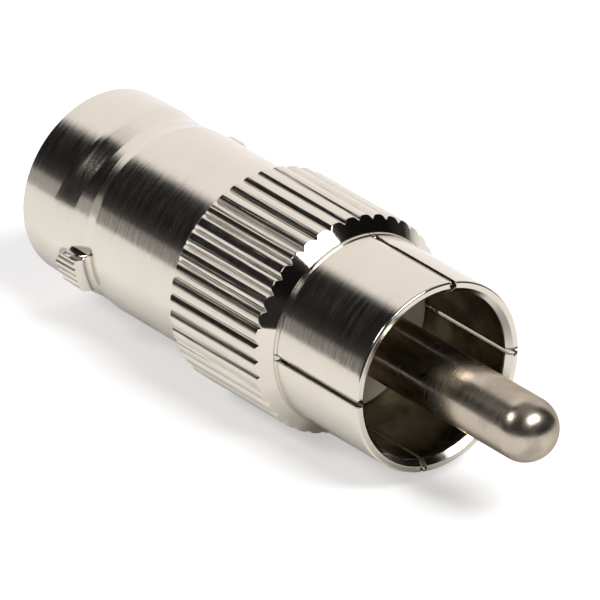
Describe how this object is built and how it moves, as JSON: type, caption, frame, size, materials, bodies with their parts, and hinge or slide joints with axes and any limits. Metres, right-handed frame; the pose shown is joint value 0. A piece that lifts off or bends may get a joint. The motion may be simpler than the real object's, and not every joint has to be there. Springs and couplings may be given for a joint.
{
  "type": "bnc to rca adapter",
  "caption": "Coaxial video adapter: BNC jack with bayonet lugs at one end, knurled grip collar, and RCA plug with slotted shell and centre pin at the other.",
  "frame": {"origin": "centre of the BNC jack's mouth, in the plane of its rim", "axes": "+Z along the axis from the BNC mouth to the RCA pin's tip; the two bayonet lugs are on +X and -X"},
  "size_m": [0.011, 0.011, 0.0341],
  "materials": {
    "body_nickel": "nickel plated, turned, satin",
    "shell_nickel": "nickel plated, turned, satin",
    "pin_nickel": "nickel plated, polished",
    "contact_gold": "gold flashed, polished",
    "bnc_insulator_white": "turned fluoropolymer, matte",
    "rca_insulator_white": "moulded, matte"
  },
  "bodies": {
    "root": {"adapter_body": "body_nickel", "rca_ground_shell": "shell_nickel", "rca_center_pin": "pin_nickel", "bnc_center_contact": "contact_gold", "bnc_insulator": "bnc_insulator_white", "rca_insulator": "rca_insulator_white"}
  },
  "joints": []
}
